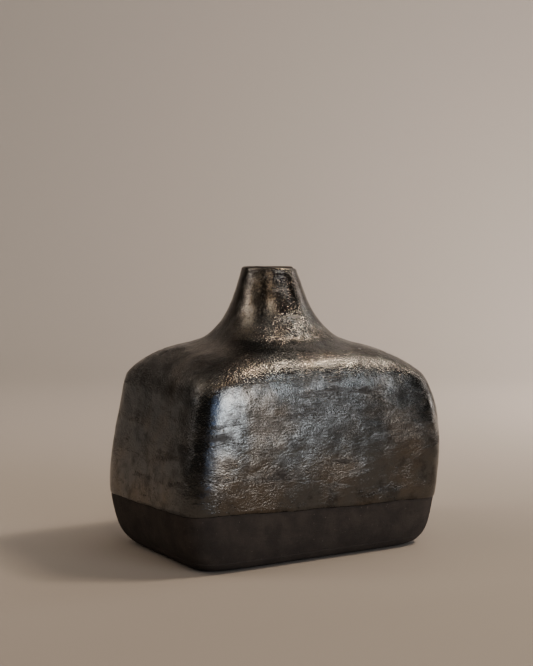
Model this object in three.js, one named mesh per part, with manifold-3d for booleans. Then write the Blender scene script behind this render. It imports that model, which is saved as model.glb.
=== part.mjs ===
// A squared bottle vase: a soft-cornered clay box with a sloping shoulder and a slim flared neck.
// The clay is built from separate pieces (floor, four wall slabs, shoulder, neck) that a potter lutes
// together before firing. A metallic glaze coats the outside above a dipped line and rolls over the lip,
// and a liner glaze coats the inside. Millimetres, +Z up, origin under the middle of the foot, front at -Y.

import * as THREE from "three";
import { mergeVertices } from "three/addons/utils/BufferGeometryUtils.js";
import Module from "manifold-3d";

const wasm = await Module();
wasm.setup();

// ---------- driving dimensions ----------
const HEIGHT = 195; // foot to lip
const DEPTH_RATIO = 0.685; // body depth over body width
const BODY_SQUARENESS = 8.8; // superellipse exponent of the body's plan; 2 is an ellipse
const SHOULDER_START = 120; // height where the square plan starts to melt into the round neck
const ROUNDING_HEIGHT = 12; // how quickly it melts
const WALL = 6; // clay thickness of the body
const NECK_WALL = 4.5; // clay thickness at the lip
const FLOOR = 7; // clay thickness of the floor
const SHOULDER_SEAM = 123; // height of the luted joint between walls and shoulder
const NECK_SEAM = 153; // height of the luted joint between shoulder and neck
const GLAZE = 0.6; // thickness of a glaze coat
const GAP = 0.3; // clearance between pieces that touch
const MITRE_SHIFT = 0.75 * GAP; // each wall moves out by this, which leaves one gap along the mitres
const GLAZE_LINE = 34.5; // height of the dipped line at the axis
const GLAZE_LINE_RISE = { x: -0.03, y: -0.03 }; // how far the line climbs per mm towards +X and +Y
const LIP_COAT_END = HEIGHT - 14; // height that the outer glaze runs down to inside the neck
const REACH = 400; // larger than the vase, for cutting tools
const OPEN_TOP = HEIGHT + 40; // where the solids that hollow the neck end, well above the lip

const SEGMENTS_AROUND = 36;
const ROWS = 20;
const CORNER_CROWDING = 0.12; // moves plan points towards the corners, in radians
const PROBE = 0.002; // parameter step for surface normals
const WELD = 1e-4; // vertices closer than this are one

// Half-width and half-depth of the outside of the clay, from the foot's edge to the lip.
const outline = new THREE.CatmullRomCurve3(
  [
    rib(0, 83.5, 0.66), // edge of the flat foot
    rib(1.2, 87, 0.67),
    rib(4, 90.3, 0.68),
    rib(13, 95.8),
    rib(37, 100.8),
    rib(70, 101.3), // fullest part of the body
    rib(100, 97.4, 0.69),
    rib(117, 92, 0.71),
    rib(128, 84, 0.745), // turn of the shoulder
    rib(136.5, 70.4, 0.79),
    rib(142, 53, 0.82),
    rib(146, 44, 0.84),
    rib(152, 37, 0.92),
    rib(159, 31.6, 0.98), // root of the neck
    rib(169, 26.6, 1),
    rib(182, 22, 1),
    rib(HEIGHT, 18, 1), // lip
  ],
  false,
  "centripetal",
);

function rib(z, halfWidth, ratio = DEPTH_RATIO) {
  return new THREE.Vector3(halfWidth, halfWidth * ratio, z);
}

function squareness(z) {
  const round = 2;
  const above = Math.max(0, z - SHOULDER_START);
  return round + (BODY_SQUARENESS - round) * Math.exp(-above / ROUNDING_HEIGHT);
}

// A point on the outside of the clay: along runs from 0 at the foot to 1 at the lip, turn is in radians.
function surfacePoint(along, turn) {
  const { x: halfWidth, y: halfDepth, z } = outline.getPoint(THREE.MathUtils.clamp(along, 0, 1));
  const n = squareness(z);
  const angle = turn + CORNER_CROWDING * Math.sin(4 * turn);
  const cos = Math.cos(angle);
  const sin = Math.sin(angle);
  const scale = (Math.abs(cos) ** n + Math.abs(sin) ** n) ** (-1 / n);
  return new THREE.Vector3(halfWidth * scale * cos, halfDepth * scale * sin, z);
}

function surfaceNormal(along, turn) {
  const up = surfacePoint(along + PROBE, turn).sub(surfacePoint(along - PROBE, turn));
  const round = surfacePoint(along, turn + PROBE).sub(surfacePoint(along, turn - PROBE));
  return round.cross(up).normalize();
}

// Clay thickness, thinner towards the lip.
function wallAt(z) {
  const share = THREE.MathUtils.smoothstep(z, SHOULDER_SEAM, HEIGHT);
  return THREE.MathUtils.lerp(WALL, NECK_WALL, share);
}

// ---------- solids ----------

function toManifold(geometry) {
  const bare = geometry.clone().deleteAttribute("normal").deleteAttribute("uv");
  const merged = mergeVertices(bare, WELD);
  return new wasm.Manifold(
    new wasm.Mesh({
      numProp: 3,
      vertProperties: merged.attributes.position.array,
      triVerts: new Uint32Array(merged.index.array),
    }),
  );
}

function toGeometry(solid) {
  const mesh = solid.getMesh();
  const geometry = new THREE.BufferGeometry();
  geometry.setAttribute("position", new THREE.BufferAttribute(mesh.vertProperties, 3));
  geometry.setIndex(new THREE.BufferAttribute(mesh.triVerts, 1));
  geometry.computeVertexNormals();
  return geometry;
}

// The whole outside surface moved inwards by inset(z), as one closed solid from floorZ to topZ.
// Above the lip it goes straight up.
function skin(inset, floorZ, topZ) {
  const rows = topZ > HEIGHT ? ROWS + 1 : ROWS;
  const positions = [];
  for (let row = 0; row <= rows; row++) {
    const along = Math.min(row / ROWS, 1);
    for (let i = 0; i < SEGMENTS_AROUND; i++) {
      const turn = (i / SEGMENTS_AROUND) * 2 * Math.PI;
      const point = surfacePoint(along, turn);
      point.addScaledVector(surfaceNormal(along, turn), -inset(point.z));
      const z = row === rows ? topZ : Math.max(point.z, floorZ);
      positions.push(point.x, point.y, z);
    }
  }
  const foot = positions.length / 3;
  positions.push(0, 0, floorZ, 0, 0, topZ);
  const lip = foot + 1;
  const faces = [];
  for (let i = 0; i < SEGMENTS_AROUND; i++) {
    const j = (i + 1) % SEGMENTS_AROUND;
    faces.push(foot, j, i);
    for (let row = 0; row < rows; row++) {
      const a = row * SEGMENTS_AROUND;
      const b = a + SEGMENTS_AROUND;
      faces.push(a + i, a + j, b + j, a + i, b + j, b + i);
    }
    const top = rows * SEGMENTS_AROUND;
    faces.push(top + i, top + j, lip);
  }
  const geometry = new THREE.BufferGeometry();
  geometry.setAttribute("position", new THREE.Float32BufferAttribute(positions, 3));
  geometry.setIndex(faces);
  return toManifold(geometry);
}

function tool(geometry, position, rotation = [0, 0, 0]) {
  const placed = new THREE.Object3D();
  placed.position.set(...position);
  placed.rotation.set(...rotation);
  placed.updateMatrix();
  return toManifold(geometry.applyMatrix4(placed.matrix));
}

// Everything between two heights, less half a gap at each.
function layer(bottom, top) {
  const height = top - bottom - GAP;
  return tool(new THREE.BoxGeometry(REACH, REACH, height), [0, 0, (bottom + top) / 2]);
}

// A wedge from the axis out to two neighbouring corners, opening towards the direction (x, y).
function mitredSector(x, y) {
  const depth = REACH * DEPTH_RATIO;
  const axis = new THREE.Vector2(0, 0);
  const corner = x === 0 ? new THREE.Vector2(REACH, depth * y) : new THREE.Vector2(REACH * x, depth);
  const nextCorner = x === 0 ? new THREE.Vector2(-REACH, depth * y) : new THREE.Vector2(REACH * x, -depth);
  const plan = new THREE.Shape([axis, corner, nextCorner]);
  const prism = new THREE.ExtrudeGeometry(plan, { depth: REACH, bevelEnabled: false });
  return tool(prism, [x * MITRE_SHIFT, y * MITRE_SHIFT, 0]);
}

const bareClay = skin(() => 0, 0, HEIGHT).subtract(skin(wallAt, FLOOR, OPEN_TOP));

function claySlab(x, y) {
  return bareClay.intersect(layer(FLOOR, SHOULDER_SEAM)).intersect(mitredSector(x, y));
}

// The space between the clay and a thickness of glaze over it, inside and out.
const coatOutside = GAP + GLAZE;
const roomForClay = skin(() => -GAP, -GAP, HEIGHT + GAP).subtract(
  skin((z) => wallAt(z) + GAP, FLOOR + GAP, OPEN_TOP),
);
const glazedAll = skin(() => -coatOutside, -coatOutside, HEIGHT + coatOutside)
  .subtract(skin((z) => wallAt(z) + coatOutside, FLOOR + coatOutside, OPEN_TOP))
  .subtract(roomForClay);

// The space inside the clay, up to where the two glazes meet in the neck.
function hollow(top) {
  return skin(wallAt, FLOOR, OPEN_TOP).intersect(layer(0, top));
}

// The dipped glaze: all that lies outside the clay above the tilted line, the lip, and the top of the bore.
function outerGlaze() {
  const aboveLine = tool(
    new THREE.BoxGeometry(REACH, REACH, REACH),
    [0, 0, GLAZE_LINE + REACH / 2],
    [GLAZE_LINE_RISE.y, -GLAZE_LINE_RISE.x, 0],
  );
  return glazedAll.intersect(aboveLine).subtract(hollow(LIP_COAT_END + GAP));
}

// The poured glaze: what lies inside the clay, up to the dipped glaze in the neck.
function linerGlaze() {
  return glazedAll.intersect(hollow(LIP_COAT_END));
}

// ---------- materials ----------

const blackClay = () =>
  new THREE.MeshStandardMaterial({ color: 0x2a2422, roughness: 0.92, metalness: 0 });
const metallicGlaze = () =>
  new THREE.MeshStandardMaterial({ color: 0x4b443c, roughness: 0.34, metalness: 0.75 });
const darkGlaze = () =>
  new THREE.MeshStandardMaterial({ color: 0x2f2a26, roughness: 0.45, metalness: 0.2 });

// ---------- the vase ----------

function piece(name, solid, material) {
  const mesh = new THREE.Mesh(toGeometry(solid), material);
  mesh.name = name;
  return mesh;
}

const walls = new THREE.Group();
walls.add(
  piece("front_wall", claySlab(0, -1), blackClay()),
  piece("back_wall", claySlab(0, 1), blackClay()),
  piece("left_wall", claySlab(-1, 0), blackClay()),
  piece("right_wall", claySlab(1, 0), blackClay()),
);

const clay = new THREE.Group();
clay.add(
  piece("floor_slab", bareClay.intersect(layer(-GAP, FLOOR)), blackClay()),
  walls,
  piece("shoulder", bareClay.intersect(layer(SHOULDER_SEAM, NECK_SEAM)), blackClay()),
  piece("neck", bareClay.intersect(layer(NECK_SEAM, HEIGHT + GAP)), blackClay()),
);

const glaze = new THREE.Group();
glaze.add(
  piece("outer_glaze", outerGlaze(), metallicGlaze()),
  piece("liner_glaze", linerGlaze(), darkGlaze()),
);

const vase = new THREE.Group();
vase.add(clay, glaze);

export default vase;
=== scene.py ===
from math import cos, pi, radians, sin

import bpy
import numpy as np
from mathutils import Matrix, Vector


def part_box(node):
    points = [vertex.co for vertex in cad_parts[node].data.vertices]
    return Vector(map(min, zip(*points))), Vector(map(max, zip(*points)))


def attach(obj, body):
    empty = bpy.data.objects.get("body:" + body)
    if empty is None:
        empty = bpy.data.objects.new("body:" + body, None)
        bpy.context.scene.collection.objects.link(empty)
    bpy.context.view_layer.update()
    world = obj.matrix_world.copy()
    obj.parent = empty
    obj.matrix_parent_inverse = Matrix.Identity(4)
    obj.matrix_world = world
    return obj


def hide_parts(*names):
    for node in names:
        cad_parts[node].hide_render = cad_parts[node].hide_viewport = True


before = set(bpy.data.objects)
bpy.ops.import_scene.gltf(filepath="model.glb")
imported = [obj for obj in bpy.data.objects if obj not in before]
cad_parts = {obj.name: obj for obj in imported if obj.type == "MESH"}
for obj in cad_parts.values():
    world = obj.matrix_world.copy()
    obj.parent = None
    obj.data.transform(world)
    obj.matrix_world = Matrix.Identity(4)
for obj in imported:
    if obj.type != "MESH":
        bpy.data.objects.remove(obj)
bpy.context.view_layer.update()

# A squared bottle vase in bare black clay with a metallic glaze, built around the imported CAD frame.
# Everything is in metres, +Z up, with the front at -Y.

MM = 0.001

# ---------- driving dimensions, from the frame where it gives them ----------
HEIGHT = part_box("neck")[1].z
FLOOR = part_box("liner_glaze")[0].z
FLOOR_SEAM = (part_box("floor_slab")[1].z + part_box("front_wall")[0].z) / 2
SHOULDER_SEAM = (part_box("front_wall")[1].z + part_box("shoulder")[0].z) / 2
NECK_SEAM = (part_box("shoulder")[1].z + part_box("neck")[0].z) / 2
LIP_COAT_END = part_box("liner_glaze")[1].z
DEPTH_RATIO = 0.685  # body depth over body width
BODY_SQUARENESS = 8.8  # superellipse exponent of the body's plan; 2 is an ellipse
SHOULDER_START = 120 * MM  # height where the square plan starts to melt into the round neck
ROUNDING_HEIGHT = 12 * MM  # how quickly it melts
WALL = 6 * MM  # clay thickness of the body
NECK_WALL = 4.2 * MM  # clay thickness at the lip
LIP_ROUNDING = 2.6 * MM  # how far below the lip its rounding starts
GLAZE = 0.75 * MM  # how far the glaze stands out of the clay
GLAZE_LINE = 34.5 * MM  # height of the dipped line at the axis
GLAZE_LINE_TILT = (-0.03, -0.03)  # rise of that line per metre along X and Y

# ---------- smooth curves and noise ----------

NOISE_TABLE = 256  # number of gradients
NOISE_SHIFT = 64  # how many cells a seed may move the noise
NOISE_GAIN = 1.6  # brings the noise to about -1 to 1


def catmull_rom(points, t):
    """Centripetal Catmull-Rom curve through points (n, k), at t from 0 to 1."""
    points = np.asarray(points, float)
    ends = 2 * points[0] - points[1], 2 * points[-1] - points[-2]
    padded = np.vstack([ends[0], points, ends[1]])
    spans = np.sqrt(np.linalg.norm(np.diff(padded, axis=0), axis=1))
    place = np.clip(np.asarray(t, float), 0, 1) * (len(points) - 1)
    i = np.minimum(place.astype(int), len(points) - 2)
    w = (place - i)[..., None]
    p0, p1, p2, p3 = (padded[i + k] for k in range(4))
    d0, d1, d2 = (spans[i + k][..., None] for k in range(3))
    m1 = d1 * ((p1 - p0) / d0 - (p2 - p0) / (d0 + d1) + (p2 - p1) / d1)
    m2 = d1 * ((p2 - p1) / d1 - (p3 - p1) / (d1 + d2) + (p3 - p2) / d2)
    return (
        p1
        + m1 * w
        + (3 * (p2 - p1) - 2 * m1 - m2) * w**2
        + (2 * (p1 - p2) + m1 + m2) * w**3
    )


def noise(points, size, seed):
    """Smooth gradient noise, about -1 to 1, with features size across: one value, or X, Y and Z."""
    rng = np.random.default_rng(seed)
    shuffle = rng.permutation(NOISE_TABLE)
    gradients = rng.normal(size=(NOISE_TABLE, 3))
    gradients /= np.linalg.norm(gradients, axis=1)[:, None]
    p = points / size + rng.uniform(0, NOISE_SHIFT, 3)
    cell = np.floor(p).astype(int)
    f = p - cell
    fade = f**3 * (f * (f * 6 - 15) + 10)
    total = 0
    for corner in np.ndindex(2, 2, 2):
        c = (cell + corner) % NOISE_TABLE
        pick = shuffle[c[..., 0]]
        pick = shuffle[(pick + c[..., 1]) % NOISE_TABLE]
        pick = shuffle[(pick + c[..., 2]) % NOISE_TABLE]
        weight = np.prod(np.where(corner, fade, 1 - fade), axis=-1)
        total = total + weight * np.sum(gradients[pick] * (f - corner), axis=-1)
    return total * NOISE_GAIN


def smoothstep(low, high, x):
    """0 below low, 1 above high, and a smooth rise between."""
    t = np.clip((x - low) / (high - low), 0, 1)
    return t * t * (3 - 2 * t)


# ---------- the outside of the clay ----------


def rib(height, half_width, ratio=DEPTH_RATIO):
    """One point of the outline, from millimetres: half-width, half-depth and height."""
    return np.array([half_width, half_width * ratio, height]) * MM


# The outside of the clay, from the foot's edge to the lip.
OUTLINE = [
    rib(0, 83.5, 0.66),  # edge of the flat foot
    rib(1.2, 87, 0.67),
    rib(4, 90.3, 0.68),
    rib(13, 95.8),
    rib(37, 100.8),
    rib(70, 101.3),  # fullest part of the body
    rib(100, 97.4, 0.69),
    rib(117, 92, 0.71),
    rib(128, 84, 0.745),  # turn of the shoulder
    rib(136.5, 70.4, 0.79),
    rib(142, 53, 0.82),
    rib(146, 44, 0.84),
    rib(152, 37, 0.92),
    rib(159, 31.6, 0.98),  # root of the neck
    rib(169, 26.6, 1),
    rib(182, 22, 1),
    rib(HEIGHT / MM, 18, 1),  # lip
]

# How the hand-built body wanders from upright: (x, y, height) in millimetres.
LEAN = np.array(
    [(-0.4, 0, 0), (-1.2, 0, 35), (2.8, 0, 98), (-1.8, 0.7, 134), (-2.1, 2.2, 165), (-2.5, 2.7, 195)]
) * MM

SAMPLES = 4001  # points that the outline is measured at
PLAN_SAMPLES = 2001  # and one side of the plan
PLAN_STEP = 0.002  # step along and round the surface for its normals

# The outline at even steps of its parameter: its points, its length so far, and how far it leans.
samples = np.linspace(0, 1, SAMPLES)
outline_samples = catmull_rom(OUTLINE, samples)
arc_samples = np.concatenate(
    [[0], np.cumsum(np.linalg.norm(np.diff(outline_samples[:, [0, 2]], axis=0), axis=1))]
)
lean_samples = catmull_rom(LEAN, samples)


def along_at_height(z):
    return np.interp(z, outline_samples[:, 2], samples)


def along_at_arc(arc):
    return np.interp(arc, arc_samples, samples)


def arc_at(along):
    return np.interp(along, samples, arc_samples)


def lean(z):
    """How far the body has wandered sideways at height z."""
    x = np.interp(z, lean_samples[:, 2], lean_samples[:, 0])
    y = np.interp(z, lean_samples[:, 2], lean_samples[:, 1])
    return np.stack([x, y, np.zeros_like(x)], axis=-1)


def plan(along, turn):
    """Points of the outside of the clay before any unevenness."""
    shape = catmull_rom(OUTLINE, along)
    above = np.maximum(0, shape[..., 2] - SHOULDER_START)
    n = 2 + (BODY_SQUARENESS - 2) * np.exp(-above / ROUNDING_HEIGHT)
    c, s = np.cos(turn), np.sin(turn)
    scale = (np.abs(c) ** n + np.abs(s) ** n) ** (-1 / n)
    return np.stack([shape[..., 0] * scale * c, shape[..., 1] * scale * s, shape[..., 2]], axis=-1)


def plan_normal(along, turn):
    above, below = np.minimum(along + PLAN_STEP, 1), np.maximum(along - PLAN_STEP, 0)
    up = plan(above, turn) - plan(below, turn)
    across = plan(along, turn + PLAN_STEP) - plan(along, turn - PLAN_STEP)
    normal = np.cross(across, up)
    return normal / np.linalg.norm(normal, axis=-1)[..., None]


# ---------- unevenness ----------
# Each relief is a sum of noises, written as millimetres of depth * noise(place, size, seed).

BODY_CORNER = 93 * 64 * MM**2  # x times y near a corner of the body's plan


def hand_relief(p):
    """How far the clay itself stands in or out of its plain shape, from slab work and scraping."""
    height = p[..., 2]
    calm_foot = smoothstep(0, 8 * MM, height)
    calm_neck = 1 - 0.55 * smoothstep(150 * MM, 175 * MM, height)
    broad = 0.55 * noise(p, 42 * MM, 11) + 0.20 * noise(p, 19 * MM, 12)
    small = 0.09 * noise(p, 8 * MM, 13) + 0.03 * noise(p, 4.5 * MM, 14)
    near_corner = smoothstep(0.60, 0.85, np.abs(p[..., 0] * p[..., 1]) / BODY_CORNER)
    small = small + 0.16 * noise(p, 11 * MM, 15) * near_corner
    return (broad * calm_neck + small) * calm_foot * MM


def scrape_relief(p):
    """Level grooves and ridges left by a rib drawn along the faces, in patches."""
    height = p[..., 2]
    band = noise(p, np.array([42, 42, 6]) * MM, 21)
    fine = noise(p, np.array([20, 20, 3.5]) * MM, 22)
    patches = smoothstep(-0.05, 0.45, noise(p, np.array([40, 40, 14]) * MM, 23))
    on_faces = smoothstep(30 * MM, 50 * MM, height) * (1 - smoothstep(118 * MM, 130 * MM, height))
    return (0.12 * band + 0.03 * fine) * patches * on_faces * MM


def glaze_relief(p):
    """Ripple of the glaze over the clay."""
    ripple = 0.06 * noise(p, 6.0 * MM, 31) + 0.03 * noise(p, 3.8 * MM, 32)
    return ripple * MM


# ---------- grid of columns round the vase ----------


def even_turns(count, start, stop, along):
    """count + 1 turns from start to stop that are evenly spaced round the plan."""
    fine = np.linspace(start, stop, PLAN_SAMPLES)
    p = plan(np.full_like(fine, along), fine)
    arc = np.concatenate([[0], np.cumsum(np.linalg.norm(np.diff(p, axis=0), axis=1))])
    turns = np.interp(np.linspace(0, arc[-1], count + 1), arc, fine)
    turns[0], turns[-1] = start, stop
    return turns


WIDE_COLUMNS = 144
NARROW_COLUMNS = 100
COARSE = 4  # hidden faces use one column in this many
FACES = {  # which way each wall faces: middle of its turn, number of columns
    "right_wall": (0, NARROW_COLUMNS),
    "back_wall": (pi / 2, WIDE_COLUMNS),
    "left_wall": (pi, NARROW_COLUMNS),
    "front_wall": (3 * pi / 2, WIDE_COLUMNS),
}
belly = along_at_height(75 * MM)  # where the columns are spaced evenly
wall_turns = {
    name: even_turns(count, middle - pi / 4, middle + pi / 4, belly)
    for name, (middle, count) in FACES.items()
}
turns = np.concatenate([t[:-1] for t in wall_turns.values()])
first_column = dict(zip(FACES, np.cumsum([0] + [count for _, count in FACES.values()])))


def outside(along, lift, uneven, columns=turns):
    """Points of a coat that stands lift out of the clay and is uneven. along is (rows, columns)."""
    turn = np.broadcast_to(columns, along.shape)
    base = plan(along, turn)
    normal = plan_normal(along, turn)
    return base + normal * (lift + uneven(base))[..., None] + lean(base[..., 2])


def clay_uneven(p):
    return hand_relief(p) + scrape_relief(p)


def glaze_uneven(p):
    return clay_uneven(p) + glaze_relief(p)


def wall_at(z):
    """Clay thickness at height z, thinner towards the lip."""
    return WALL + (NECK_WALL - WALL) * smoothstep(SHOULDER_SEAM, HEIGHT, z)


def inside(along, lift, columns=turns):
    """Points that stand lift out of the inner face of the clay, never below the floor."""
    turn = np.broadcast_to(columns, along.shape)
    base = plan(along, turn)
    p = base - plan_normal(along, turn) * (wall_at(base[..., 2]) + lift)[..., None]
    p[..., 2] = np.maximum(p[..., 2], FLOOR + lift)
    return p + lean(base[..., 2])


# ---------- meshes ----------


def grid_faces(first, rows, columns, closed, flip=False):
    """Quads of a rows x columns block of vertices, which runs round when closed."""
    row = np.arange(rows - 1)[:, None]
    column = np.arange(columns if closed else columns - 1)[None, :]
    beside = (column + 1) % columns
    a = first + row * columns + column
    b = first + row * columns + beside
    c = first + (row + 1) * columns + beside
    d = first + (row + 1) * columns + column
    quads = np.stack([a, b, c, d], axis=-1).reshape(-1, 4)
    return quads[:, ::-1].tolist() if flip else quads.tolist()


def ring_join(lower, upper):
    """Faces between two closed rings of vertex numbers; lower may have several times as many as upper."""
    step = len(lower) // len(upper)
    faces = []
    for j in range(len(upper)):
        k = (j + 1) % len(upper)
        fine = [lower[(j * step + i) % len(lower)] for i in range(step + 1)]
        faces.append(fine + [upper[k], upper[j]])
    return faces


def make_piece(name, nodes, material, blocks, faces, normals=None):
    """A mesh object from blocks of points and faces of vertex numbers, riding on the body."""
    points = np.concatenate([block.reshape(-1, 3) for block in blocks])
    mesh = bpy.data.meshes.new(name)
    mesh.from_pydata(points.tolist(), [], faces)
    mesh.validate()
    mesh.update()
    mesh.shade_smooth()
    if normals is not None:
        mesh.normals_split_custom_set_from_vertices(normals.tolist())
    mesh.materials.append(material)
    piece = bpy.data.objects.new(name, mesh)
    bpy.context.scene.collection.objects.link(piece)
    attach(piece, "root")
    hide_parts(*nodes)
    return piece


# ---------- materials ----------

MIX_A, MIX_B, MIX_RESULT = 6, 7, 2  # the Mix node's colour sockets, which share names with others


def new_material(name):
    """An empty material with one Principled shader: the material, its node tree and the shader."""
    material = bpy.data.materials.new(name)
    material.use_nodes = True
    tree = material.node_tree
    tree.nodes.clear()
    output = tree.nodes.new("ShaderNodeOutputMaterial")
    shader = tree.nodes.new("ShaderNodeBsdfPrincipled")
    tree.links.new(shader.outputs["BSDF"], output.inputs["Surface"])
    return material, tree, shader


class Maker:
    """Short ways to add the few node kinds that the materials use, all in the piece's own metres."""

    def __init__(self, tree):
        self.tree = tree
        self.place = tree.nodes.new("ShaderNodeTexCoord").outputs["Object"]

    def link(self, source, target):
        """Feeds an input from another node's output, or sets it to a plain value."""
        if hasattr(source, "is_linked"):
            self.tree.links.new(source, target)
        else:
            target.default_value = source

    def stretched(self, scale, shift=(0, 0, 0)):
        """The place on the piece, scaled along each axis and moved."""
        node = self.tree.nodes.new("ShaderNodeMapping")
        self.tree.links.new(self.place, node.inputs["Vector"])
        node.inputs["Location"].default_value = shift
        node.inputs["Scale"].default_value = scale
        return node.outputs["Vector"]

    def noise(self, size, detail=3.0, roughness=0.55, vector=None, distortion=0.0):
        node = self.tree.nodes.new("ShaderNodeTexNoise")
        self.tree.links.new(vector or self.place, node.inputs["Vector"])
        node.inputs["Scale"].default_value = 1 / size
        node.inputs["Detail"].default_value = detail
        node.inputs["Roughness"].default_value = roughness
        node.inputs["Distortion"].default_value = distortion
        return node.outputs["Fac"]

    def cells(self, size):
        """Distance to the nearest of many scattered points, which lie about size apart."""
        node = self.tree.nodes.new("ShaderNodeTexVoronoi")
        self.tree.links.new(self.place, node.inputs["Vector"])
        node.inputs["Scale"].default_value = 1 / size
        return node.outputs["Distance"]

    def ramp(self, value, low, high, from_value=0.0, to_value=1.0):
        """Smooth change from from_value to to_value while value goes from low to high."""
        node = self.tree.nodes.new("ShaderNodeMapRange")
        node.interpolation_type = "SMOOTHSTEP"
        self.link(value, node.inputs["Value"])
        node.inputs["From Min"].default_value = low
        node.inputs["From Max"].default_value = high
        node.inputs["To Min"].default_value = from_value
        node.inputs["To Max"].default_value = to_value
        return node.outputs["Result"]

    def maths(self, operation, a, b=0.0):
        node = self.tree.nodes.new("ShaderNodeMath")
        node.operation = operation
        self.link(a, node.inputs[0])
        self.link(b, node.inputs[1])
        return node.outputs["Value"]

    def mix(self, share, a, b):
        node = self.tree.nodes.new("ShaderNodeMix")
        node.data_type = "RGBA"
        self.link(share, node.inputs["Factor"])
        self.link(a, node.inputs[MIX_A])
        self.link(b, node.inputs[MIX_B])
        return node.outputs[MIX_RESULT]

    def height(self):
        node = self.tree.nodes.new("ShaderNodeSeparateXYZ")
        self.tree.links.new(self.place, node.inputs["Vector"])
        return node.outputs["Z"]

    def bump(self, height, depth, normal=None):
        node = self.tree.nodes.new("ShaderNodeBump")
        self.link(height, node.inputs["Height"])
        node.inputs["Strength"].default_value = 1.0
        node.inputs["Distance"].default_value = depth
        if normal is not None:
            self.tree.links.new(normal, node.inputs["Normal"])
        return node.outputs["Normal"]


def metallic_glaze():
    """Dark gunmetal glaze clouded with bronze and soot: rippled, wrinkled, pinholed, streaked level."""
    material, tree, shader = new_material("metallic_glaze")
    make = Maker(tree)
    level = make.stretched((1, 1, 4.5), (0, 0, 0.3))
    broad = make.noise(38 * MM, detail=4)
    cloudy = make.noise(13 * MM, detail=6, roughness=0.68)
    streaks = make.noise(42 * MM, detail=6, roughness=0.68, vector=level)
    pits = make.ramp(make.cells(2.2 * MM), 0.08, 0.26)
    pit_patches = make.ramp(make.noise(16 * MM, detail=2), 0.50, 0.62)
    pinholes = make.maths("MAXIMUM", pits, make.maths("SUBTRACT", 1.0, pit_patches))
    on_shoulder = make.ramp(make.height(), 112 * MM, 126 * MM)
    on_neck = make.ramp(make.height(), 150 * MM, 164 * MM)
    wrinkled = make.ramp(make.noise(20 * MM, detail=3), 0.42, 0.65, 0.29, 0.66)
    wrinkled = make.maths("ADD", wrinkled, make.ramp(streaks, 0.52, 0.62, 0.0, 0.6))
    wrinkled = make.maths("ADD", wrinkled, make.maths("MULTIPLY", on_shoulder, 0.55))
    wrinkled = make.maths("SUBTRACT", wrinkled, make.maths("MULTIPLY", on_neck, 0.50))
    wrinkled = make.maths("MAXIMUM", wrinkled, 0.25)
    crinkle = make.noise(1.3 * MM, detail=3, roughness=0.6, distortion=0.6)
    speckle = make.maths("MULTIPLY", make.ramp(crinkle, 0.48, 0.66), wrinkled)

    steel = (0.150, 0.154, 0.155, 1)
    bronze = (0.178, 0.160, 0.141, 1)
    soot = (0.038, 0.033, 0.030, 1)
    colour = make.mix(make.ramp(broad, 0.42, 0.66), steel, bronze)
    colour = make.mix(make.ramp(cloudy, 0.46, 0.66, 0.0, 0.55), colour, soot)
    sooty = make.ramp(streaks, 0.53, 0.66, 0.0, 0.6)
    sooty = make.maths("SUBTRACT", sooty, make.maths("MULTIPLY", on_neck, 0.45))
    colour = make.mix(make.maths("MAXIMUM", sooty, 0.0), colour, soot)
    colour = make.mix(make.maths("MULTIPLY", speckle, 0.45), colour, soot)
    colour = make.mix(make.ramp(pinholes, 0.0, 1.0, 0.9, 0.0), colour, soot)
    tree.links.new(colour, shader.inputs["Base Color"])

    rough = make.ramp(cloudy, 0.40, 0.66, 0.11, 0.24)
    rough = make.maths("ADD", rough, make.ramp(streaks, 0.52, 0.66, 0.0, 0.12))
    tree.links.new(rough, shader.inputs["Roughness"])
    shader.inputs["Metallic"].default_value = 1.0

    crinkle = make.maths("SUBTRACT", crinkle, 0.5)
    normal = make.bump(make.noise(6.0 * MM, detail=3, roughness=0.5), 0.14 * MM)
    normal = make.bump(make.maths("MULTIPLY", crinkle, wrinkled), 0.50 * MM, normal)
    normal = make.bump(pinholes, 0.22 * MM, normal)
    tree.links.new(normal, shader.inputs["Normal"])
    return material


def bare_clay():
    """Unglazed black clay: matte, fine grained, with a few pale specks of grog."""
    material, tree, shader = new_material("black_clay")
    make = Maker(tree)
    cloudy = make.noise(14 * MM, detail=5, roughness=0.6)
    grain = make.noise(0.7 * MM, detail=3, roughness=0.7)
    level = make.noise(9 * MM, detail=5, roughness=0.7, vector=make.stretched((1, 1, 8)))
    near_speck = make.ramp(make.cells(2.4 * MM), 0.10, 0.17, 1.0, 0.0)
    chosen = make.ramp(make.noise(2.4 * MM, detail=0), 0.60, 0.66)
    grog = make.maths("MULTIPLY", near_speck, chosen)

    dark = (0.041, 0.035, 0.032, 1)
    brown = (0.062, 0.052, 0.046, 1)
    pale = (0.13, 0.11, 0.095, 1)
    colour = make.mix(make.ramp(cloudy, 0.35, 0.7), dark, brown)
    colour = make.mix(make.ramp(grain, 0.55, 0.8, 0.0, 0.5), colour, brown)
    colour = make.mix(grog, colour, pale)
    tree.links.new(colour, shader.inputs["Base Color"])
    rough = make.ramp(grain, 0.3, 0.7, 0.82, 0.97)
    tree.links.new(rough, shader.inputs["Roughness"])
    shader.inputs["Specular IOR Level"].default_value = 0.35

    normal = make.bump(make.noise(2.6 * MM, detail=4, roughness=0.6), 0.25 * MM)
    normal = make.bump(grain, 0.12 * MM, normal)
    normal = make.bump(level, 0.25 * MM, normal)
    tree.links.new(normal, shader.inputs["Normal"])
    return material


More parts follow.
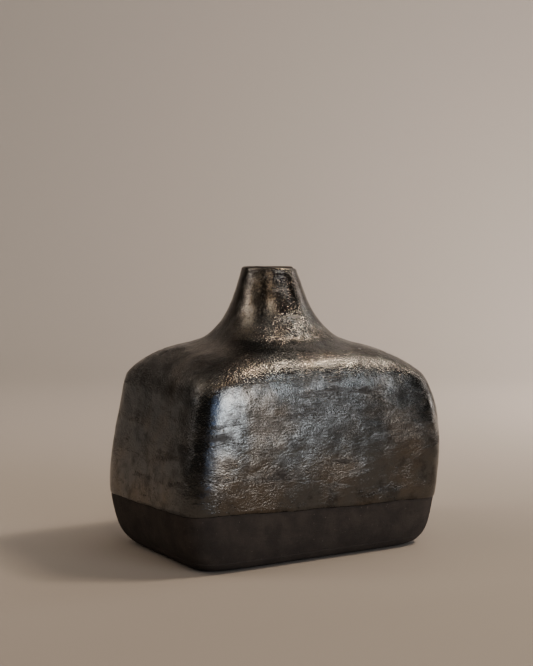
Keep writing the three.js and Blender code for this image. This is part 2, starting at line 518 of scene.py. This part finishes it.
def liner():
    """Dark semi-gloss glaze inside."""
    material, tree, shader = new_material("liner_glaze")
    make = Maker(tree)
    cloudy = make.noise(12 * MM, detail=4)
    dark = (0.020, 0.016, 0.013, 1)
    brown = (0.040, 0.031, 0.024, 1)
    colour = make.mix(make.ramp(cloudy, 0.35, 0.7), dark, brown)
    tree.links.new(colour, shader.inputs["Base Color"])
    tree.links.new(make.ramp(cloudy, 0.3, 0.7, 0.3, 0.5), shader.inputs["Roughness"])
    tree.links.new(make.bump(make.noise(3 * MM, detail=3), 0.2 * MM), shader.inputs["Normal"])
    return material


def plain_matte(name, colour, roughness):
    material, _, shader = new_material(name)
    shader.inputs["Base Color"].default_value = colour
    shader.inputs["Roughness"].default_value = roughness
    return material


# ---------- the clay ----------

BARE_ROW = 1.3 * MM  # spacing of rows where the clay shows
HIDDEN_ROW = 4.5 * MM  # and where it does not
COVERED = 46 * MM  # everything above this height lies under the glaze
FOOT_RINGS = 12  # rings of the underside, with the edge of the foot
FOOT_HOLLOW = 0.5 * MM  # how far the middle of the underside is hollowed, so that the foot sits steady
WEAR = 0.10  # share by which that hollow varies

clay_finish = bare_clay()


def rows_between(low, high, spacing):
    """Outline parameters from height low to height high, about spacing apart along the surface."""
    a, b = arc_at(along_at_height(low)), arc_at(along_at_height(high))
    count = max(2, int(round((b - a) / spacing)) + 1)
    return along_at_arc(np.linspace(a, b, count))


def full(rows, columns):
    """The outline parameters of rows, repeated for a number of columns."""
    return np.repeat(np.asarray(rows)[:, None], columns, axis=1)


def surface_normals(points, closed):
    """Unit normals of a grid of points by differences between neighbours."""
    up = np.gradient(points, axis=0)
    if closed:
        across = np.roll(points, -1, axis=1) - np.roll(points, 1, axis=1)
    else:
        across = np.gradient(points, axis=1)
    normal = np.cross(across, up)
    return normal / np.maximum(np.linalg.norm(normal, axis=-1), 1e-12)[..., None]


bare_rows = np.concatenate(
    [rows_between(0, COVERED, BARE_ROW), rows_between(COVERED, SHOULDER_SEAM, HIDDEN_ROW)[1:]]
)
seam_row = int(np.argmin(np.abs(bare_rows - along_at_height(FLOOR_SEAM))))
bare_rows[seam_row] = along_at_height(FLOOR_SEAM)
body_grid = outside(full(bare_rows, len(turns)), 0.0, clay_uneven)
body_grid[0, :, 2] = 0
body_normals = surface_normals(body_grid, closed=True)


def wall(name):
    """One wall slab: its outer face is cut from the body's grid, so that neighbours meet exactly."""
    start = first_column[name]
    count = FACES[name][1] + 1
    pick = np.arange(start, start + count) % len(turns)
    outer = body_grid[seam_row:, pick]
    rows = len(outer)
    columns = turns[pick]
    inner = inside(full(bare_rows[seam_row:], count), 0.0, columns)
    first_inner = rows * count
    faces = grid_faces(0, rows, count, closed=False)
    faces += grid_faces(first_inner, rows, count, closed=False, flip=True)
    for j in range(count - 1):
        top, bottom = (rows - 1) * count + j, j
        faces.append([top, top + 1, first_inner + top + 1, first_inner + top])
        faces.append([bottom + 1, bottom, first_inner + bottom, first_inner + bottom + 1])
    for i in range(rows - 1):
        left, right = i * count, i * count + count - 1
        faces.append([left, left + count, first_inner + left + count, first_inner + left])
        faces.append([right + count, right, first_inner + right, first_inner + right + count])
    outer_normals = body_normals[seam_row:, pick].reshape(-1, 3)
    inner_normals = -surface_normals(inner, closed=False).reshape(-1, 3)
    normals = np.concatenate([outer_normals, inner_normals])
    make_piece(name, [name], clay_finish, [outer, inner], faces, normals)


def floor_slab():
    """The foot: its underside, the turn up to the walls, and the floor inside."""
    count = len(turns)
    outer = body_grid[: seam_row + 1]
    foot = outer[0]
    shares = np.linspace(0.06, 1, FOOT_RINGS)[:-1]
    under = np.stack([foot * share for share in shares])
    hollow = FOOT_HOLLOW * (1 - smoothstep(0.82, 0.97, shares))
    under[..., 2] = hollow[:, None] * (1 + WEAR * noise(under, 7 * MM, 41))
    inner_edge = inside(full([bare_rows[seam_row]], count), 0.0)[0]
    top = np.stack([inner_edge * share for share in (1, 0.7, 0.4, 0.1)])
    top[..., 2] = FLOOR_SEAM
    section = np.concatenate([under, outer, top])
    faces = grid_faces(0, len(section), count, closed=True)
    last = (len(section) - 1) * count
    faces.append(list(range(count))[::-1])
    faces.append([last + j for j in range(count)])
    make_piece("floor_slab", ["floor_slab"], clay_finish, [section], faces)


def hidden_ring(name, low, high, lip=False):
    """A clay piece that runs all round and lies wholly under the glazes."""
    columns = turns[::COARSE]
    count = len(columns)
    rows = rows_between(low, high, HIDDEN_ROW / 2)
    outer = outside(full(rows, count), 0.0, clay_uneven, columns)
    inner = inside(full(rows[::-1], count), 0.0, columns)
    section = np.concatenate([outer, inner])
    if lip:
        crown = (outer[-1] + inner[0]) / 2
        crown[:, 2] = HEIGHT
        outer[-1, :, 2] -= LIP_ROUNDING
        inner[0, :, 2] = outer[-1, :, 2]
        section = np.concatenate([outer, crown[None], inner])
    faces = grid_faces(0, len(section), count, closed=True)
    last = (len(section) - 1) * count
    faces += [[last + j, last + (j + 1) % count, (j + 1) % count, j] for j in range(count)]
    make_piece(name, [name], clay_finish, [section], faces)


for name in FACES:
    wall(name)
floor_slab()
hidden_ring("shoulder", SHOULDER_SEAM, NECK_SEAM)
hidden_ring("neck", NECK_SEAM, HEIGHT, lip=True)

# ---------- the glazes ----------

GLAZE_ROW = 1.45 * MM  # spacing of rows where the glaze shows
EDGE_ROWS = 6  # rows over the rolled edge at the glaze line
EDGE_WIDTH = 3.2 * MM
BORE_ROW = 2 * MM  # spacing of rows down the bore
LIP_STEPS = 8  # steps over the lip
HIDDEN_GLAZE_ROWS = 46  # rows of the side that lies against the clay
CLEARANCE = 0.1 * MM  # between that side and the clay


def line_height(p):
    """Height of the dipped line at a point of the outside: tilted and wavering."""
    tilt = GLAZE_LINE_TILT[0] * p[..., 0] + GLAZE_LINE_TILT[1] * p[..., 1]
    level = p * np.array([1, 1, 0])
    waver = 0.9 * noise(level, 45 * MM, 51) + 0.45 * noise(level, 13 * MM, 52)
    waver = waver + 0.22 * noise(level, 4.5 * MM, 53)
    return GLAZE_LINE + tilt + waver * MM


def line_along():
    """Outline parameter of the glaze line in each column, found in a few rounds."""
    along = np.full(len(turns), along_at_height(GLAZE_LINE))
    for _ in range(4):
        p = plan(along, turns)
        along = along_at_height(line_height(p + lean(p[..., 2])))
    return along


def glaze_body(start, end):
    """The coat on the outside, from arc start in each column, with a rolled edge there, to arc end."""
    rolled = np.linspace(0, EDGE_WIDTH, EDGE_ROWS)[:-1]
    rise = np.sin(np.linspace(0.05, 1, EDGE_ROWS)[:-1] * pi / 2) ** 0.5
    bead = 1 + 0.12 * np.sin(np.linspace(0, pi, EDGE_ROWS)[:-1])
    plain_rows = int(round((end - start.mean() - EDGE_WIDTH) / GLAZE_ROW)) + 1
    share = np.linspace(0, 1, plain_rows)[:, None]
    arcs = np.concatenate(
        [start + rolled[:, None], (start + EDGE_WIDTH) * (1 - share) + end * share]
    )
    lift = np.concatenate([GLAZE * rise * bead, np.full(plain_rows, GLAZE)])[:, None]
    along = along_at_arc(arcs)
    return outside(along, np.broadcast_to(lift, along.shape), glaze_uneven)


def glaze_crown(outer_lip, inner_lip):
    """The arch of glaze over the lip, between two rings of points."""
    middle, half = (outer_lip + inner_lip) / 2, (outer_lip - inner_lip) / 2
    steps = np.linspace(0, pi, LIP_STEPS + 1)[1:-1]
    height = LIP_ROUNDING + GLAZE
    return np.stack([middle + half * cos(a) + np.array([0, 0, height * sin(a)]) for a in steps])


def rim_unevenness(points):
    """How far the glaze near the lip rises or sinks: higher on one side, and uneven all round."""
    waves = 0.65 * np.cos(turns - 2.6) - 0.30 * np.cos(2 * turns + 1.1) + 0.16 * np.cos(3 * turns)
    near_rim = smoothstep(HEIGHT - 12 * MM, HEIGHT + GLAZE, points[..., 2])
    return (waves - 0.5 + 0.12 * noise(points, 4 * MM, 62)) * near_rim * MM


def glaze_against_clay(start, end, bore_rows, columns):
    """The coarse hidden side of the outer glaze, from the bore over the lip to the line."""
    share = np.linspace(0, 1, HIDDEN_GLAZE_ROWS)[:, None]
    along = along_at_arc(start[::COARSE] * (1 - share) + end * share)
    back = outside(along, CLEARANCE, clay_uneven, columns)[::-1]
    bore = inside(full(bore_rows[::-1], len(columns)), CLEARANCE, columns)
    return np.concatenate([bore, back])


def outer_glaze():
    """The dipped coat: rolled edge at the line, up the body, over the lip and down into the bore."""
    count = len(turns)
    start = arc_at(line_along())
    end = arc_at(along_at_height(HEIGHT - LIP_ROUNDING))
    body = glaze_body(start, end)
    bore_rows = rows_between(LIP_COAT_END, HEIGHT - LIP_ROUNDING, BORE_ROW)[::-1]
    bore = inside(full(bore_rows, count), GLAZE, turns)
    shown = np.concatenate([body, glaze_crown(body[-1], bore[0]), bore])
    shown[..., 2] += rim_unevenness(shown)
    faces = grid_faces(0, len(shown), count, closed=True)

    columns = turns[::COARSE]
    hidden = glaze_against_clay(start, end, bore_rows, columns)
    first_hidden = len(shown) * count
    last_row = first_hidden + (len(hidden) - 1) * len(columns)
    faces += grid_faces(first_hidden, len(hidden), len(columns), closed=True)
    last_shown = [first_hidden - count + j for j in range(count)]
    first_ring = [first_hidden + j for j in range(len(columns))]
    faces += ring_join(last_shown, first_ring)
    last_ring = [last_row + j for j in range(len(columns))]
    faces += [face[::-1] for face in ring_join(list(range(count)), last_ring)]
    finish = metallic_glaze()
    make_piece("outer_glaze", ["outer_glaze"], finish, [shown, hidden], faces)


def liner_glaze():
    """The poured coat on the inner faces, from the dipped coat in the bore down to the floor."""
    columns = turns[::COARSE]
    count = len(columns)
    rows = rows_between(FLOOR, LIP_COAT_END, HIDDEN_ROW)[::-1]
    sides = []
    for lift in (GLAZE, CLEARANCE):
        coat = inside(full(rows, count), lift, columns)
        edge = coat[-1]
        middle = np.array([0, 0, edge[0, 2]])
        pool = np.stack([middle + (edge - middle) * share for share in (0.75, 0.5, 0.25, 0.05)])
        sides.append(np.concatenate([coat, pool]))
    shown, back = sides
    faces = grid_faces(0, len(shown), count, closed=True)
    faces.append([(len(shown) - 1) * count + j for j in range(count)])
    first_back = len(shown) * count
    faces += grid_faces(first_back, len(back), count, closed=True, flip=True)
    faces.append([first_back + (len(back) - 1) * count + j for j in range(count)][::-1])
    faces += [[(j + 1) % count, j, first_back + j, first_back + (j + 1) % count] for j in range(count)]
    make_piece("liner_glaze", ["liner_glaze"], liner(), [shown, back], faces)


outer_glaze()
liner_glaze()

# ---------- camera ----------

CAMERA_AIM = Vector((-2.6, 5.9, 148.2)) * MM
CAMERA_DISTANCE = 926.4 * MM
CAMERA_AZIMUTH = -31.23  # degrees
CAMERA_ELEVATION = 4.02
LENS = 71.04  # millimetres


def outward(azimuth, elevation):
    """Direction from the vase, in degrees: azimuth is 0 at the front and grows towards +X."""
    a, e = radians(azimuth), radians(elevation)
    return Vector((sin(a) * cos(e), -cos(a) * cos(e), sin(e)))


back = outward(CAMERA_AZIMUTH, CAMERA_ELEVATION)
camera_data = bpy.data.cameras.new("camera")
camera_data.lens = LENS
camera = bpy.data.objects.new("camera", camera_data)
camera.location = CAMERA_AIM + back * CAMERA_DISTANCE
camera.rotation_mode = "QUATERNION"
camera.rotation_quaternion = (-back).to_track_quat("-Z", "Y")
bpy.context.scene.collection.objects.link(camera)
bpy.context.scene.camera = camera

# ---------- floor and light ----------

SWEEP_DISTANCE = 1.1  # from the vase to where the floor starts to curve up
SWEEP_RADIUS = 1.2
SWEEP_STEPS = 16  # over the curve
SWEEP_HEIGHT = 3.2
SWEEP_REACH = 8.0  # how far the floor runs to either side and past the camera
SWEEP_COLOUR = (0.385, 0.352, 0.322, 1)
BACKDROP_LIGHT_SIZE = 0.9
BACKDROP_LIGHT_COLOUR = (1.0, 0.93, 0.88)
ROOM_COLOUR = (0.62, 0.56, 0.50, 1)
ROOM_STRENGTH = 0.115

AWAY = Vector((-back.x, -back.y, 0)).normalized()  # level, away from the camera
RIGHT = Vector((AWAY.y, -AWAY.x, 0))  # level, to the right in the picture
UP = Vector((0, 0, 1))


def in_view(away, right, up):
    """A point this far behind the vase, to its right and above the floor, as the camera sees it."""
    return AWAY * away + RIGHT * right + UP * up


def sweep():
    """A seamless pale floor that curves up behind the vase, turned square to the camera."""
    profile = [(-SWEEP_REACH, 0.0), (SWEEP_DISTANCE, 0.0)]
    for k in range(1, SWEEP_STEPS + 1):
        a = k / SWEEP_STEPS * pi / 2
        profile.append((SWEEP_DISTANCE + SWEEP_RADIUS * sin(a), SWEEP_RADIUS * (1 - cos(a))))
    profile.append((SWEEP_DISTANCE + SWEEP_RADIUS, SWEEP_HEIGHT))
    points = []
    for distance, z in profile:
        for reach in (-SWEEP_REACH, SWEEP_REACH):
            points.append(in_view(distance, reach, z))
    faces = [[2 * i, 2 * i + 1, 2 * i + 3, 2 * i + 2] for i in range(len(profile) - 1)]
    mesh = bpy.data.meshes.new("sweep")
    mesh.from_pydata(points, [], faces)
    mesh.shade_smooth()
    mesh.materials.append(plain_matte("sweep", SWEEP_COLOUR, roughness=0.9))
    stage = bpy.data.objects.new("sweep", mesh)
    bpy.context.scene.collection.objects.link(stage)


def area_light(name, place, backwards, width, height, energy, colour):
    """An area light at a place, which shines away from the direction backwards."""
    data = bpy.data.lights.new(name, "AREA")
    data.shape = "RECTANGLE"
    data.size, data.size_y = width, height
    data.energy = energy
    data.color = colour
    light = bpy.data.objects.new(name, data)
    light.location = place
    light.rotation_mode = "QUATERNION"
    light.rotation_quaternion = backwards.to_track_quat("Z", "Y")
    bpy.context.scene.collection.objects.link(light)


def softbox(name, azimuth, elevation, distance, width, height, radiance, colour):
    """A light that faces the middle of the vase; radiance is how bright its surface looks."""
    out = outward(azimuth, elevation)
    energy = radiance * pi * width * height
    area_light(name, UP * (HEIGHT / 2) + out * distance, out, width, height, energy, colour)


def backdrop_light(name, place, target, energy):
    """A broad light beside the vase and out of view, which lights the background."""
    place, target = in_view(*place), in_view(*target)
    size = BACKDROP_LIGHT_SIZE
    area_light(name, place, place - target, size, size, energy, BACKDROP_LIGHT_COLOUR)


DAYLIGHT = (0.96, 0.98, 1.0)
AMBER = (1.0, 0.82, 0.64)
CREAM = (1.0, 0.90, 0.80)

# Name, azimuth and elevation as outward takes them, distance, width, height, radiance, colour.
SOFTBOXES = [
    ("window", 11.6, 11, 3.4, 1.62, 1.30, 5.6, DAYLIGHT),
    ("window_top", 28.4, 17.5, 3.4, 0.38, 0.50, 6.5, DAYLIGHT),
    ("room_front", 33, 4, 3.6, 0.9, 0.5, 0.18, (1.0, 0.92, 0.82)),
    ("sky_right", 43, 8.5, 3.4, 0.8, 0.95, 0.12, (0.62, 0.78, 1.0)),
    ("sky_left", -13, 8, 3.4, 1.35, 0.95, 1.1, (0.50, 0.66, 1.0)),
    ("high_right", 59, 53, 1.8, 0.38, 0.32, 32, AMBER),
    ("root_right", 62, 50, 1.8, 0.14, 0.12, 80, (1.0, 0.84, 0.68)),
    ("corner_left", -72, 34, 1.8, 0.20, 0.36, 1.6, AMBER),
    ("overhead", 0, 80, 2.2, 1.6, 1.6, 0.32, CREAM),
    ("high_front", -24, 44, 1.8, 0.36, 0.50, 3.6, AMBER),
    ("high_back", 112, 46, 1.8, 1.60, 0.90, 0.55, (1.0, 0.93, 0.86)),
    ("high_left", -110, 46, 1.8, 0.86, 1.2, 1.7, AMBER),
    ("low_left", -148, -1, 3.0, 1.5, 0.6, 0.20, CREAM),
]

# Name, place, the place that it points at (both as in_view takes them), energy.
BACKDROP_LIGHTS = [
    ("low_behind", (0.6, 1.2, 0.5), (1.8, 0.6, 0.0), 28),
    ("left_behind", (-0.2, -1.7, 0.9), (1.5, -2.0, 0.0), 17),
]

sweep()
for box in SOFTBOXES:
    softbox(*box)
for light in BACKDROP_LIGHTS:
    backdrop_light(*light)

bpy.context.scene.view_settings.look = "AgX - Medium High Contrast"

world = bpy.data.worlds.new("room")
world.use_nodes = True
room = world.node_tree.nodes["Background"]
room.inputs["Color"].default_value = ROOM_COLOUR
room.inputs["Strength"].default_value = ROOM_STRENGTH
bpy.context.scene.world = world
